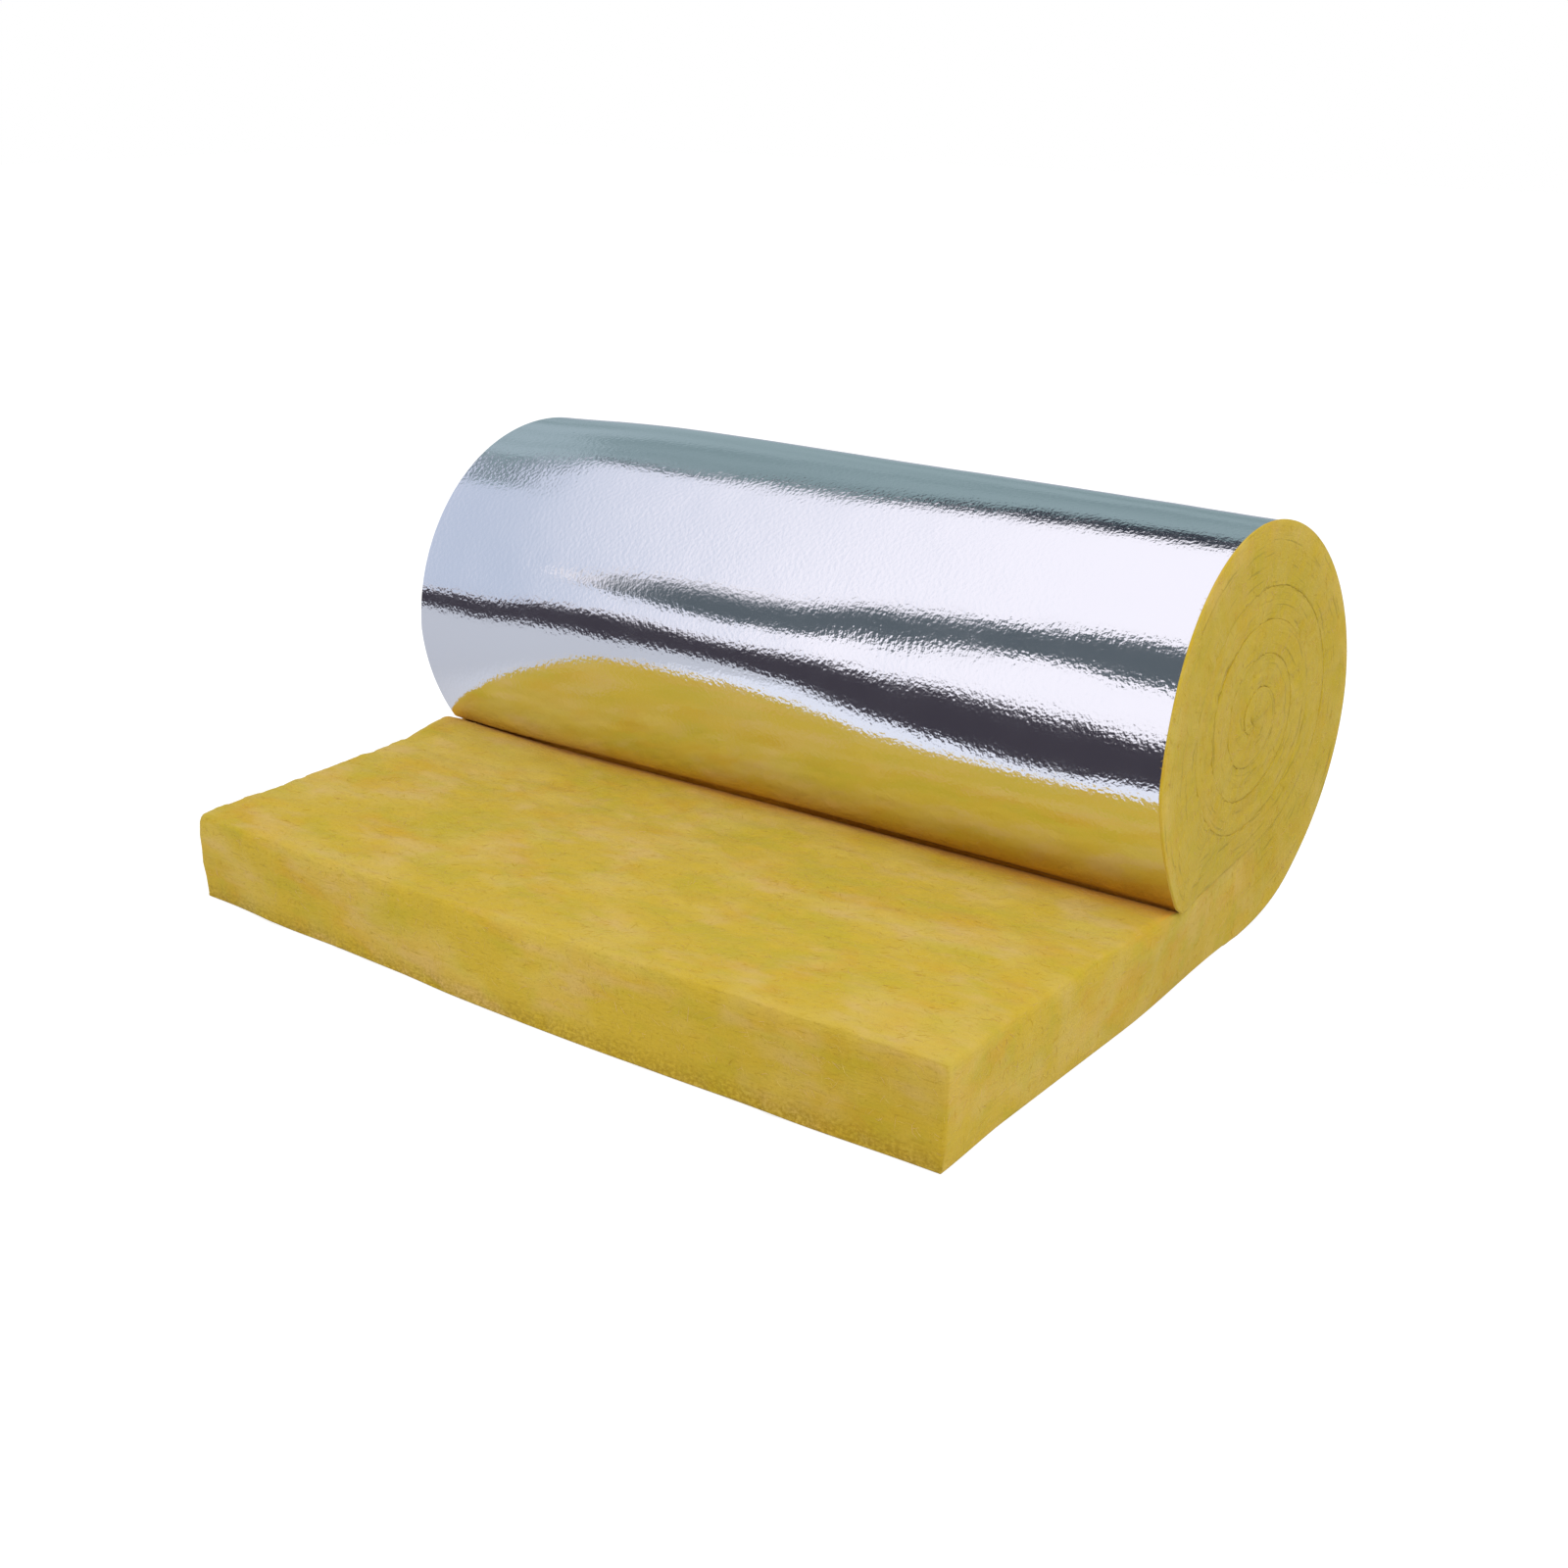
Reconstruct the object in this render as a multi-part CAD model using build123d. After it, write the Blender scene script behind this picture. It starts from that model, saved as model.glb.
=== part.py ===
from build123d import *
from math import acos, degrees, sqrt
import os

# Foil-faced glass wool blanket, wound into a roll whose free end lies flat on
# the floor. The foil is on the outside of the roll and under the flat stretch.
# +X runs along the roll's axis, -Y towards the cut end of the flat stretch, +Z up.
# The origin is on the floor, at the centre of the footprint. Lengths are in mm.

BLANKET_WIDTH = 1200.0
BLANKET_THICKNESS = 120.0  # of the flat stretch, facing included
FACING_THICKNESS = 0.6
FLAT_LENGTH = 712.0  # from the cut end to the line where the blanket leaves the floor
ROLL_RADIUS = 290.0  # of the first quarter turn, up the back of the roll
RADIUS_STEP = 5.0  # each later quarter of the outermost turn is this much tighter
OUTER_TURN_THICKNESS = 85.0  # the outermost turn has eased open
TURN_PITCH = 46.0  # the turns inside it are still pressed thin
CORE_RADIUS = 25.0  # where the facing ends, in a core of wool folded on itself
OVALITY = 0.14  # share by which the inner turns' arcs are wider below and above
NIP_RADIUS = 40.0  # bend of the facing where the roll comes down on the blanket
TURN_GAP = 1.0  # clearance between one turn's wool and the next turn's facing

# The outermost turn is three arcs that run into each other: back, top and front.
back_radius = ROLL_RADIUS
top_radius = back_radius - RADIUS_STEP
front_radius = top_radius - RADIUS_STEP

lift_off_y = (FLAT_LENGTH - ROLL_RADIUS) / 2
cut_end_y = lift_off_y - FLAT_LENGTH
back_centre = (lift_off_y, back_radius)
top_centre = (lift_off_y + back_radius - top_radius, back_radius)
front_centre = (top_centre[0], back_radius + top_radius - front_radius)

# The roll rests on the blanket: its facing lies flat there, one gap above the wool.
rest_height = BLANKET_THICKNESS + TURN_GAP
nip_height = rest_height + NIP_RADIUS
nip_drop = front_centre[1] - nip_height
nip_reach = sqrt((front_radius - NIP_RADIUS) ** 2 - nip_drop**2)
nip_centre = (front_centre[0] - nip_reach, nip_height)
nip_angle = 270 - degrees(acos(nip_drop / (front_radius - NIP_RADIUS)))

# The inner turns are arcs that run into each other, up to a quarter turn each. They
# are wide below and above the axis and tight at the sides, as turns that sag are.
inner_arcs = []
arc_start = -90.0
arc_end = -45.0
touch_point = Vector(lift_off_y, rest_height)
mean_radius = ROLL_RADIUS - OUTER_TURN_THICKNESS
ovality = OVALITY
while mean_radius > CORE_RADIUS:
    radius = mean_radius * (1 + ovality)
    centre = touch_point - Vector(radius, 0).rotate(Axis.Z, arc_start)
    inner_arcs.append((centre, radius, arc_start, arc_end - arc_start))
    touch_point = centre + Vector(radius, 0).rotate(Axis.Z, arc_end)
    arc_start = arc_end
    arc_end += 90
    mean_radius -= TURN_PITCH / 4
    ovality = -ovality


def inner_turns(inset):
    """The inner turns, inset towards the axis from the facing's outer side."""
    return [
        CenterArc(centre, radius - inset, start, sweep)
        for centre, radius, start, sweep in inner_arcs
    ]


def outer_turn(inset):
    """The outermost turn's three arcs and the bend onto the blanket below."""
    front_sweep = nip_angle - 90
    nip_sweep = 270 - nip_angle
    return [
        CenterArc(back_centre, back_radius - inset, -90, 90),
        CenterArc(top_centre, top_radius - inset, 0, 90),
        CenterArc(front_centre, front_radius - inset, 90, front_sweep),
        CenterArc(nip_centre, NIP_RADIUS - inset, nip_angle, nip_sweep),
    ]


def rest_line(inset):
    """The stretch of the facing that lies flat on the blanket."""
    height = rest_height + inset
    return Line((nip_centre[0], height), (lift_off_y, height))


def across_width(edges):
    """Closes a section drawn in Y and Z and extrudes it over the width."""
    section = Plane.YZ * make_face(edges)
    return extrude(section, amount=BLANKET_WIDTH / 2, both=True)


def wool_blanket():
    """The wool: flat stretch, outermost turn, inner turns and core in one piece."""
    bottom_corner = (cut_end_y, FACING_THICKNESS)
    top_corner = (cut_end_y, BLANKET_THICKNESS)
    open_side = inner_turns(-TURN_GAP)
    faced_side = inner_turns(FACING_THICKNESS)
    return across_width([
        Line(bottom_corner, top_corner),
        Line(top_corner, (lift_off_y, BLANKET_THICKNESS)),
        *open_side,
        Line(open_side[-1] @ 1, faced_side[-1] @ 1),
        *faced_side,
        rest_line(FACING_THICKNESS),
        *outer_turn(FACING_THICKNESS),
        Line((lift_off_y, FACING_THICKNESS), bottom_corner),
    ])


def wound_facing():
    """The foil from where it leaves the floor to its end in the core."""
    outside = [*outer_turn(0), rest_line(0), *inner_turns(0)]
    inside = [
        *outer_turn(FACING_THICKNESS),
        rest_line(FACING_THICKNESS),
        *inner_turns(FACING_THICKNESS),
    ]
    return across_width([
        Line((lift_off_y, 0), (lift_off_y, FACING_THICKNESS)),
        *outside,
        Line(outside[-1] @ 1, inside[-1] @ 1),
        *inside,
    ])


def flat_facing():
    """The foil under the flat stretch, from the cut end to the lift-off line."""
    corners = [
        (cut_end_y, 0),
        (lift_off_y, 0),
        (lift_off_y, FACING_THICKNESS),
        (cut_end_y, FACING_THICKNESS),
    ]
    return across_width(Polyline(*corners, close=True))


parts = {
    "glass_wool_blanket": wool_blanket(),
    "foil_facing_wound": wound_facing(),
    "foil_facing_flat": flat_facing(),
}

os.makedirs("parts", exist_ok=True)
for name, shape in parts.items():
    export_step(shape, f"parts/{name}.step")
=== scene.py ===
from functools import partial, reduce
from itertools import product
from math import acos, ceil, cos, pi, radians, sin, sqrt

import bpy
import numpy as np
from mathutils import Matrix, Vector
from mathutils.bvhtree import BVHTree


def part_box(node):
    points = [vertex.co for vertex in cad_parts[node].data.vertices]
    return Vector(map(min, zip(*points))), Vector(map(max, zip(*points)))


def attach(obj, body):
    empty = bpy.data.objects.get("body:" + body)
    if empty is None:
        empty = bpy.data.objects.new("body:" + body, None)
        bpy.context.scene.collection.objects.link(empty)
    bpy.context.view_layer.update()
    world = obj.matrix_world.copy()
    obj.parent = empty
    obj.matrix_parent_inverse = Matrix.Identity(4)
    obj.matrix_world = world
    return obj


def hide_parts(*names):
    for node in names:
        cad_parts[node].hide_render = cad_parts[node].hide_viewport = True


# Foil-faced glass wool blanket wound into a roll, with its free end flat on the floor.
# Metres, in the CAD model's frame. The blanket is built as one long strip and wound up.

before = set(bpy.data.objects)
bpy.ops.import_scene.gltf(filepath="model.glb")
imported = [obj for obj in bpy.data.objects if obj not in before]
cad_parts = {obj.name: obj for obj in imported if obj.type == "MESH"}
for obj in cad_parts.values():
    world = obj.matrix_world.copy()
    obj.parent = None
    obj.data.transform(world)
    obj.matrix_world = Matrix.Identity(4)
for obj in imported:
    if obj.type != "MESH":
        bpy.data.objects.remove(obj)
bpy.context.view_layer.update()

# The section, with the same values as the CAD model's source.

wool_low, wool_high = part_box("glass_wool_blanket")
_, flat_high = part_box("foil_facing_flat")
_, wound_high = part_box("foil_facing_wound")

HALF_WIDTH = wool_high.x
CUT_END_Y = wool_low.y
LIFT_OFF_Y = flat_high.y
FACING = flat_high.z
FLAT_LENGTH = LIFT_OFF_Y - CUT_END_Y
FLAT_THICKNESS = 0.120
RADIUS_STEP = 0.005
OUTER_TURN = 0.085
TURN_PITCH = 0.046
CORE_RADIUS = 0.025
OVALITY = 0.14
NIP_RADIUS = 0.040
TURN_GAP = 0.001

BACK_RADIUS = wound_high.y - LIFT_OFF_Y
TOP_RADIUS = BACK_RADIUS - RADIUS_STEP
FRONT_RADIUS = TOP_RADIUS - RADIUS_STEP
BACK_CENTRE = np.array([LIFT_OFF_Y, BACK_RADIUS])
TOP_CENTRE = BACK_CENTRE + [RADIUS_STEP, 0]
FRONT_CENTRE = TOP_CENTRE + [0, RADIUS_STEP]
REST_HEIGHT = FLAT_THICKNESS + TURN_GAP
NIP_DROP = FRONT_CENTRE[1] - REST_HEIGHT - NIP_RADIUS
NIP_SPAN = FRONT_RADIUS - NIP_RADIUS
NIP_CENTRE = np.array([
    FRONT_CENTRE[0] - sqrt(NIP_SPAN**2 - NIP_DROP**2),
    REST_HEIGHT + NIP_RADIUS,
])
NIP_ANGLE = 1.5 * pi - acos(NIP_DROP / NIP_SPAN)
CREASE_BEFORE_NIP = 0.024
CREASE_Y = NIP_CENTRE[0] - CREASE_BEFORE_NIP  # where the roll hides the blanket from the front
# Painted shade: how far in front of the crease the wool's colour is shaded.
CREASE_SHADE_REACH = 0.055
CREASE_ALONG = CREASE_Y - CUT_END_Y

PATH_STEP = 0.001
SAME_PLACE = 1e-7


def arc(centre, radius, start, end):
    """Points of an arc as rows of y, z and the facing's outward angle in radians."""
    count = max(2, ceil(radius * (end - start) / PATH_STEP))
    angles = np.linspace(start, end, count + 1)
    ys = centre[0] + radius * np.cos(angles)
    zs = centre[1] + radius * np.sin(angles)
    return np.column_stack([ys, zs, angles])


def straight(start_y, end_y, height, angle):
    """Points of a level line as rows of y, z and the facing's outward angle."""
    count = max(2, ceil(abs(end_y - start_y) / PATH_STEP))
    ys = np.linspace(start_y, end_y, count + 1)
    return np.column_stack([ys, np.full(count + 1, height), np.full(count + 1, angle)])


def inner_turns():
    """The inner turns' arcs, which run into each other down to the core."""
    runs = []
    start, end = -pi / 2, -pi / 4
    touch = np.array([LIFT_OFF_Y, REST_HEIGHT])
    mean_radius = BACK_RADIUS - OUTER_TURN
    ovality = OVALITY
    while mean_radius > CORE_RADIUS:
        radius = mean_radius * (1 + ovality)
        centre = touch - radius * np.array([cos(start), sin(start)])
        runs.append(arc(centre, radius, start, end) + [0, 0, 2 * pi])
        touch = centre + radius * np.array([cos(end), sin(end)])
        start, end = end, end + pi / 2
        mean_radius -= TURN_PITCH / 4
        ovality = -ovality
    return runs


def step_lengths(path):
    """The lengths of the steps from point to point of a path."""
    return np.hypot(*np.diff(path[:, :2], axis=0).T)


facing_path = np.vstack([
    straight(CUT_END_Y, LIFT_OFF_Y, 0, -pi / 2),
    arc(BACK_CENTRE, BACK_RADIUS, -pi / 2, 0),
    arc(TOP_CENTRE, TOP_RADIUS, 0, pi / 2),
    arc(FRONT_CENTRE, FRONT_RADIUS, pi / 2, NIP_ANGLE),
    arc(NIP_CENTRE, NIP_RADIUS, NIP_ANGLE, 1.5 * pi),
    straight(NIP_CENTRE[0], LIFT_OFF_Y, REST_HEIGHT, 1.5 * pi),
    *inner_turns(),
])
facing_path = facing_path[np.concatenate([[True], step_lengths(facing_path) > SAME_PLACE])]
path_length = np.concatenate([[0], np.cumsum(step_lengths(facing_path))])
FACING_END = path_length[-1]
NIP_LENGTH = float(path_length[np.argmin(np.hypot(*(facing_path[:, :2] - NIP_CENTRE).T))])


def on_path(along):
    """y, z and outward angle of the facing's outer side at these lengths along it."""
    return [np.interp(along, path_length, facing_path[:, k]) for k in range(3)]


# The wound part is also written as a distance from one centre at each turning angle,
# and goes on past the facing's end to the middle of the core.
TURN_CENTRE_HEIGHT = 0.311
TURN_CENTRE = np.array([LIFT_OFF_Y, TURN_CENTRE_HEIGHT])
CORE_END_RADIUS = 0.002
CORE_STEPS = 60
wound = path_length >= FLAT_LENGTH
from_centre = facing_path[wound, :2] - TURN_CENTRE
turn_angle = np.unwrap(np.arctan2(from_centre[:, 1], from_centre[:, 0]))
turn_radius = np.hypot(*from_centre.T)
turn_along = path_length[wound]
core_turn = 2 * pi * (turn_radius[-1] - CORE_END_RADIUS) / TURN_PITCH
core_steps = np.linspace(0, 1, CORE_STEPS)[1:]
core_radius = turn_radius[-1] + (CORE_END_RADIUS - turn_radius[-1]) * core_steps
core_along = np.cumsum(core_radius * core_turn / len(core_steps))
turn_angle = np.concatenate([turn_angle, turn_angle[-1] + core_turn * core_steps])
turn_radius = np.concatenate([turn_radius, core_radius])
turn_along = np.concatenate([turn_along, turn_along[-1] + core_along])
WOOL_END = turn_along[-1]
turn_facing = facing_path[wound, 2]


def facing_angle(angle):
    """The facing's own outward angle where the wound part has this turning angle."""
    return np.interp(angle, turn_angle[:len(turn_facing)], turn_facing)


# Seeded noise.


def lattice_value(cells, seed):
    """A repeatable number from -1 to 1 for each lattice point, by integer hashing."""
    mixed = cells[:, 0] * 73856093 ^ cells[:, 1] * 19349663 ^ cells[:, 2] * 83492791
    mixed = (mixed ^ seed * 2654435761) & 0xFFFFFFFF
    mixed = ((mixed ^ mixed >> 15) * 2246822519) & 0xFFFFFFFF
    mixed = ((mixed ^ mixed >> 13) * 3266489917) & 0xFFFFFFFF
    return ((mixed ^ mixed >> 16) & 0xFFFF) / 32767.5 - 1


def noise(points, cell, seed):
    """Smooth noise from -1 to 1 at these points, with features as large as cell."""
    scaled = points / np.asarray(cell, float)
    base = np.floor(scaled).astype(np.int64)
    part = scaled - base
    part = part * part * (3 - 2 * part)
    total = np.zeros(len(points))
    for corner in product((0, 1), repeat=3):
        weight = np.prod(np.where(corner, part, 1 - part), axis=1)
        total += weight * lattice_value(base + np.array(corner), seed)
    return total


def ramp(value, low, high):
    """A smooth step from 0 at low to 1 at high."""
    part = np.clip((value - low) / (high - low), 0, 1)
    return part * part * (3 - 2 * part)


# The roll's own shape: what its end and its foil do away from a true cylinder.

SKEW = 0.011  # the turns have slipped to the right at the back, and in front at the right end
SKEW_RIGHT_X = -0.3
LOW_SLIP = 0.030
TUCK = 0.012  # how far the right side is drawn in under the roll
TUCK_X = 0.3
TUCK_START_Y = -0.1
TUCK_END = (LIFT_OFF_Y + 0.03, LIFT_OFF_Y + 0.16)
TUCK_LOST = 0.7
SWELL_ANGLE = radians(178)
SWELL_WIDTH = radians(25)
SWELL_X = [-0.60, -0.48, -0.37, -0.27, -0.15, -0.01, 0.08, 0.19, 0.30, 0.40, 0.60]
SWELL_TILT = [0, 0, -2.2, -4.5, -5.5, -5.5, -3.5, 1.5, 3.5, 4.0, 3.5]
SWELL_EASE = 0.02
UNEVEN_X = [-0.60, -0.50, -0.40, -0.25, 0.0, 0.30, 0.60]
UNEVEN_OUT = [-0.009, -0.003, 0.001, 0.001, -0.002, -0.004, -0.008]
UNEVEN_START = (-0.45 * pi, -0.25 * pi)
UNEVEN_END = (radians(200), radians(240))
LOW_X = [-0.60, -0.50, -0.36, 0.20, 0.60]
LOW_FRONT_OUT = [-0.014, -0.009, -0.015, -0.009, -0.005]
LOW_FRONT_ANGLE = radians(240)
LOW_FRONT_WIDTH = radians(24)
LOW_FRONT_END = (radians(246), 1.5 * pi)
LOW_BACK_OUT = [0.0, 0.0, 0.0, 0.0, 0.002]
LOW_BACK_ANGLE = radians(-55)
LOW_BACK_WIDTH = radians(22)
LOW_BACK_START = (-0.5 * pi, -0.4 * pi)

# What the flat stretch does away from a true slab.
CUT_X = [-0.60, -0.35, 0.0, 0.30, 0.60]
CUT_LEAN = [0.015, 0.0, -0.017, -0.021, -0.018]  # how far the cut's foot stands in
CUT_REACH = 0.12
CUT_WAVE = 0.002
CUT_WAVE_LENGTH = 0.11
FOOT_WIDER = 0.005  # at the cut's right foot
LEFT_SIDE = 0.30  # the flat stretch is thicker and wider from here to its left side
LEFT_RISE = 0.013
LEFT_WIDER = 0.007
LEFT_WIDER_BY_ROLL = 1.3  # this much wider again by the roll
LEFT_WIDER_START = 0.22
UNDER_ROLL = (CREASE_ALONG - 0.02, CREASE_ALONG + 0.05)
FRONT_RISE = 0.012  # the roll's weight pushes the blanket up in front of it
FRONT_REACH = 0.11
RISE_LOST_RIGHT = 0.5
NIP_FLARE = 0.015  # and at the nip's right end it presses the blanket's top outwards
FLARE_X = 0.2
FLARE_REACH = 0.15
FLARE_END = (CREASE_ALONG + 0.04, FLAT_LENGTH - 0.02)

EASE_SPAN = 0.75
EASE_SAMPLES = 301
EASE_MARGIN = 30


def eased(x, xs, values, reach=0.045):
    """Values of a table at x, with its corners rounded over reach."""
    samples = np.linspace(-EASE_SPAN, EASE_SPAN, EASE_SAMPLES)
    spacing = samples[1] - samples[0]
    away = np.arange(-EASE_MARGIN, EASE_MARGIN + 1) * spacing / reach
    weights = np.exp(-away * away / 2)
    table = np.pad(np.interp(samples, xs, values), EASE_MARGIN, mode="edge")
    return np.interp(x, samples, np.convolve(table, weights / weights.sum(), "valid"))


def hump(value, centre, width):
    """A smooth hump that is 1 at its centre."""
    return np.exp(-(((value - centre) / width) ** 2))


def swell(angle, x):
    """How far the outermost turn stands out of its true arc."""
    tilt = np.radians(eased(x, SWELL_X, SWELL_TILT, SWELL_EASE))
    front = FRONT_RADIUS * tilt * (angle - SWELL_ANGLE) * hump(angle, SWELL_ANGLE, SWELL_WIDTH)
    uneven = ramp(angle, *UNEVEN_START) * (1 - ramp(angle, *UNEVEN_END))
    low_front = hump(angle, LOW_FRONT_ANGLE, LOW_FRONT_WIDTH)
    low_front *= 1 - ramp(angle, *LOW_FRONT_END)
    low_back = hump(angle, LOW_BACK_ANGLE, LOW_BACK_WIDTH)
    return (
        front
        + eased(x, UNEVEN_X, UNEVEN_OUT) * uneven
        + eased(x, LOW_X, LOW_FRONT_OUT) * low_front
        + eased(x, LOW_X, LOW_BACK_OUT) * low_back * ramp(angle, *LOW_BACK_START)
    )


def skew(along, x, y, z):
    """Sideways shift: slipped turns of the roll, and a tuck at its right foot."""
    back = (y - LIFT_OFF_Y) / BACK_RADIUS
    low = np.clip(1 - z / BACK_RADIUS, 0, 1)
    right = ramp(x, SKEW_RIGHT_X, HALF_WIDTH)
    lean = SKEW * (back * (1 - right) + back * back * right)
    slipped = LOW_SLIP * np.clip(-back, 0, 1) * low
    tuck = TUCK * ramp(x, TUCK_X, HALF_WIDTH) * ramp(y, TUCK_START_Y, LIFT_OFF_Y) * low
    tuck *= 1 - TUCK_LOST * ramp(y, *TUCK_END)
    return np.where(along > FLAT_LENGTH, lean + slipped, 0) - tuck


def flat_shift(along, share, x):
    """What the flat stretch does away from a true slab, as x, y and z shifts."""
    near_cut = 1 - ramp(along, 0, CUT_REACH)
    only_x = np.column_stack([x, 0 * x, 0 * x])
    lean = eased(x, CUT_X, CUT_LEAN) + CUT_WAVE * noise(only_x, (CUT_WAVE_LENGTH, 1, 1), 31)
    left = ramp(-x, LEFT_SIDE, HALF_WIDTH)
    clear = 1 - ramp(along, *UNDER_ROLL)
    rise = LEFT_RISE * np.interp(along, [0, CREASE_ALONG], [0.5, 1]) * left * clear * share
    pushed_up = FRONT_RISE * (1 - RISE_LOST_RIGHT * ramp(x, 0, HALF_WIDTH))
    rise += pushed_up * ramp(along, CREASE_ALONG - FRONT_REACH, CREASE_ALONG) * clear * share
    foot = ramp(x, HALF_WIDTH - CUT_REACH, HALF_WIDTH) * near_cut * (1 - share)
    behind = ramp(along, *FLARE_END)
    pressed = ramp(along, CREASE_ALONG - FLARE_REACH, CREASE_ALONG) * (1 - behind) * share
    by_roll = ramp(along, LEFT_WIDER_START, CREASE_ALONG)
    wider = FOOT_WIDER * foot - LEFT_WIDER * (1 + LEFT_WIDER_BY_ROLL * by_roll) * left * clear
    wider += NIP_FLARE * pressed * ramp(x, FLARE_X, HALF_WIDTH)
    return np.column_stack([wider, lean * (1 - share) * near_cut, rise])


# Wool.

WOOL_STEP = 0.0045
EDGE_OFFSETS = [0, 0.0015, 0.003, 0.0045, 0.010]
LIP = 0.05
FINE_END = FLAT_LENGTH - (LIFT_OFF_Y - NIP_CENTRE[0]) + 0.035
FACING_EDGE_RADIUS = 0.0004
SIDE_EDGE_RADIUS = 0.004
FLAT_OPEN_RADIUS = 0.013
TURN_OPEN_RADIUS = 0.0004
EDGE_SHARE = 0.35  # no edge radius takes more of the thickness than this
FACING_EDGE_SHARE = 0.3
FACED_EDGE = (0, 0.3)
OPEN_EDGE = (0.7, 1)
NOT_ZERO = 1e-9
OPEN_RADIUS_CHANGE = 0.03  # half the length over which the open edges turn sharp
RAGGED = 0.7
RIM_HEIGHT = 0.0034
RIM_X = (HALF_WIDTH - 0.0045, HALF_WIDTH - 0.0031)
RIM_DEPTH = 0.004
FOIL_SET_BACK = 0.0038
UNDER_FOIL = FACING + 0.0006
HIDDEN_DEPTH = 0.008
HIDDEN_THICKNESS = 0.04  # thinner wool hides its foil side less deep
LOWEST_WOOL = 0.0005
FOIL_CLEARANCE = 0.0005
THINNEST_TURN = 0.0005
THINNEST_WOOL = 0.0008
DEPTH_ROWS = 14

# Each kind of relief: height, cell sizes along the strip's three directions, and seed.
BROAD = (0.0022, (0.13, 0.5, 0.17), 1)
TUFTS = (0.0017, (0.020, 0.03, 0.032), 2)
FINE = (0.0010, (0.008, 0.009, 0.010), 3)
TURN_LAYERS = (1.0, (0.09, 0.007, 0.3), 4)  # the next two give its height
TURN_LAYER_HEIGHT = 0.0010
CORE_LAYER_HEIGHT = 0.0008  # added towards the core
CORE_LAYER_REACH = (FACING_END - 0.9, FACING_END - 0.2)
CUT_LAYERS = (0.0016, (0.3, 0.008, 0.07), 5)
FOOT = (0.0022, (1, 0.02, 0.009), 6)
FOOT_REACH = (0.004, 0.02)
TUFTS_LESS_AT_ENDS = 0.4
FINE_MORE_AT_CUT = 0.3
CUT_FADE = (0.002, 0.020)
END_SKIN = 0.001
END_FADE_FLAT = 0.020
END_FADE_WOUND = 0.006
LAYER_FADE = 0.012
FACED_SIDE_FADE = (0.002, 0.012)
CUT_FOOT = 0.004  # nearer to the cut the faced side fades in over less
CUT_FOOT_FADE = (0, 0.003)
UNDER_ROLL_FADE = (FINE_END - 0.09, FINE_END - 0.04)
RAGGED_CELLS = (0.03, 0.2, 0.03)
SLIP_CELLS = (0.35, 1, 0.1)
SLIP_REACH = (FLAT_LENGTH + 0.2, FLAT_LENGTH + 1.2)
SLIP_HEIGHT = 0.0006
SLIP_HEIGHT_INNER = 0.0004
BULGE_HEIGHT = 0.0003


def spread(low, high, step, offsets=EDGE_OFFSETS):
    """Positions from low to high, close together at both ends and even between."""
    first, last = low + offsets[-1], high - offsets[-1]
    middle = np.linspace(first, last, max(2, round((last - first) / step) + 1))[1:-1]
    ends = np.array(offsets)
    return np.concatenate([low + ends, middle, (high - ends)[::-1]])


def thickness(along):
    """The wool's thickness at these lengths along the blanket."""
    angle = np.interp(along, turn_along, turn_angle)
    radius = np.interp(angle, turn_angle, turn_radius)
    inner = np.interp(angle + 2 * pi, turn_angle, turn_radius, right=THINNEST_TURN)
    wound_thickness = radius - inner
    flat_thickness = FLAT_THICKNESS - UNDER_FOIL
    return np.where(along < FLAT_LENGTH, flat_thickness, np.maximum(wound_thickness, THINNEST_WOOL))


def wound_up(strip):
    """Places points of the strip (length along it, depth from the facing, x)."""
    along, depth, x = strip.T
    flat_y = CUT_END_Y + along
    angle = np.interp(along, turn_along, turn_angle)
    radius = np.interp(angle, turn_angle, turn_radius)
    share = np.clip(depth / thickness(along), 0, 1)
    rim = RIM_HEIGHT * ramp(x, *RIM_X) * (1 - ramp(depth, 0, RIM_DEPTH))
    outward = (swell(facing_angle(angle), x) + rim) * (1 - share)
    outward = np.where(angle < 1.5 * pi, outward, 0)
    distance = radius - UNDER_FOIL - depth + outward
    y = np.where(along < FLAT_LENGTH, flat_y, TURN_CENTRE[0] + distance * np.cos(angle))
    z = np.where(
        along < FLAT_LENGTH, UNDER_FOIL + depth, TURN_CENTRE[1] + distance * np.sin(angle)
    )
    points = np.column_stack([x + skew(along, x, y, z), y, z])
    shift = flat_shift(along, share, x)
    return points + np.where((along < FLAT_LENGTH)[:, None], shift, 0)


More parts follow.
